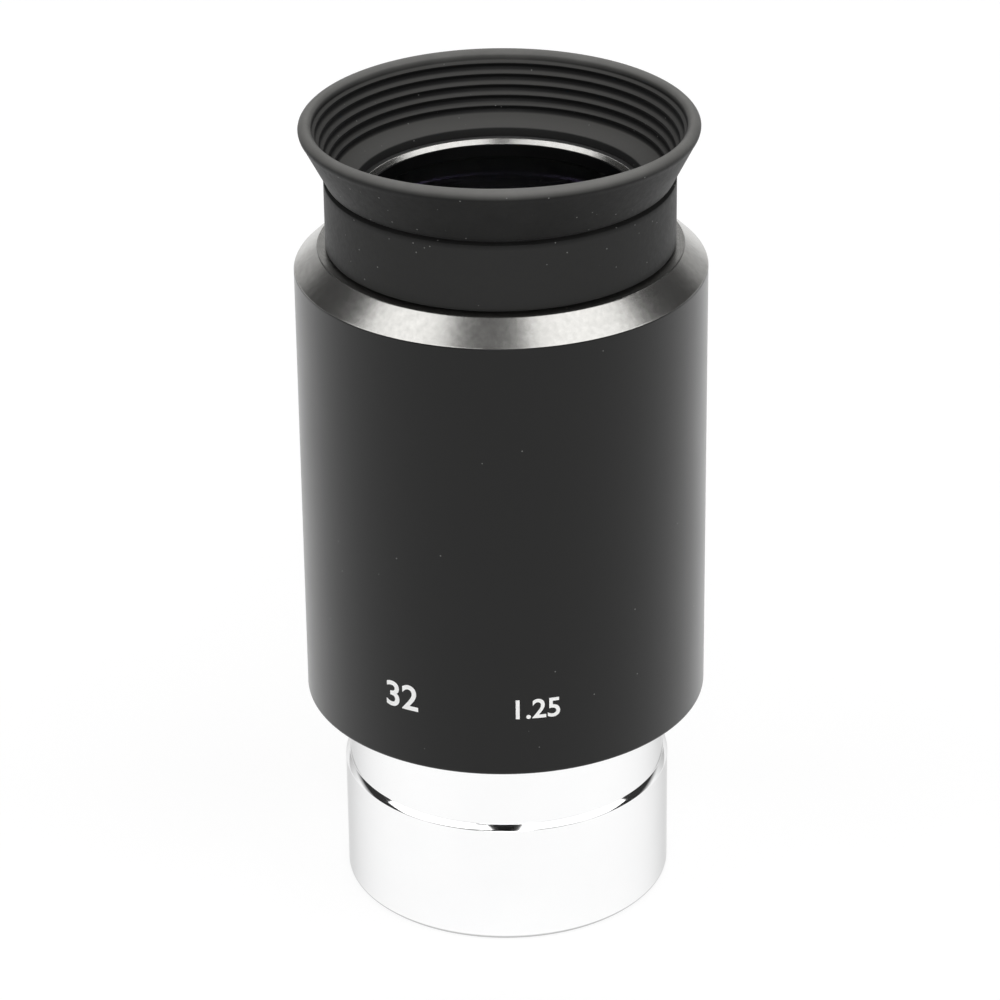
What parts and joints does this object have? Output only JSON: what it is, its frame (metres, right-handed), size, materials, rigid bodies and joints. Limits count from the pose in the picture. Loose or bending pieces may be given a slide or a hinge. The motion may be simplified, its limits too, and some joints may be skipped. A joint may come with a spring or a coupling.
{
  "type": "telescope eyepiece",
  "caption": "Black telescope eyepiece with a fold-down rubber eyecup, bright-cut shoulder and chromed push-fit nose barrel with a safety undercut.",
  "frame": {"origin": "centre of the nose barrel's lower face", "axes": "+Z is the optical axis, pointing to the eye; +X is to the right of the print's place on the housing, which faces -Y"},
  "size_m": [0.0386, 0.0386, 0.079],
  "materials": {
    "barrel_chrome": "polished chrome plate",
    "black_anodised": "satin black anodised, with bright-cut edges",
    "coated_glass": "polished, coated against reflections",
    "black_rubber": "matte moulded rubber"
  },
  "bodies": {
    "housing": {"housing": "black_anodised", "eye_flint": "coated_glass", "eye_crown": "coated_glass", "lens_spacer": "black_anodised", "field_crown": "coated_glass", "field_flint": "coated_glass", "retaining_ring": "black_anodised", "eyecup_base": "black_rubber", "eyecup_flare": "black_rubber"},
    "eyecup_rim": {"eyecup_lip": "black_rubber"},
    "field_stop": {"field_stop": "black_anodised"},
    "barrel": {"barrel": "barrel_chrome"}
  },
  "joints": [
    {"name": "eyecup_fold", "type": "slide", "parent": "housing", "child": "eyecup_rim", "axis": [0, 0, -1], "range_m": [0, 0.0098], "deforming": ["eyecup_flare"]},
    {"name": "barrel_travel", "type": "slide", "parent": "housing", "child": "field_stop", "axis": [0, 0, -1], "range_m": [0, 0.006]},
    {"name": "barrel_turn", "type": "hinge", "parent": "field_stop", "child": "barrel", "pos_m": [0, 0, 0], "axis": [0, 0, -1], "range_deg": [0, 2880]}
  ],
  "couplings": [
    {"joint": "barrel_travel", "follows": "barrel_turn", "m_per_rad": 0.00011937}
  ]
}
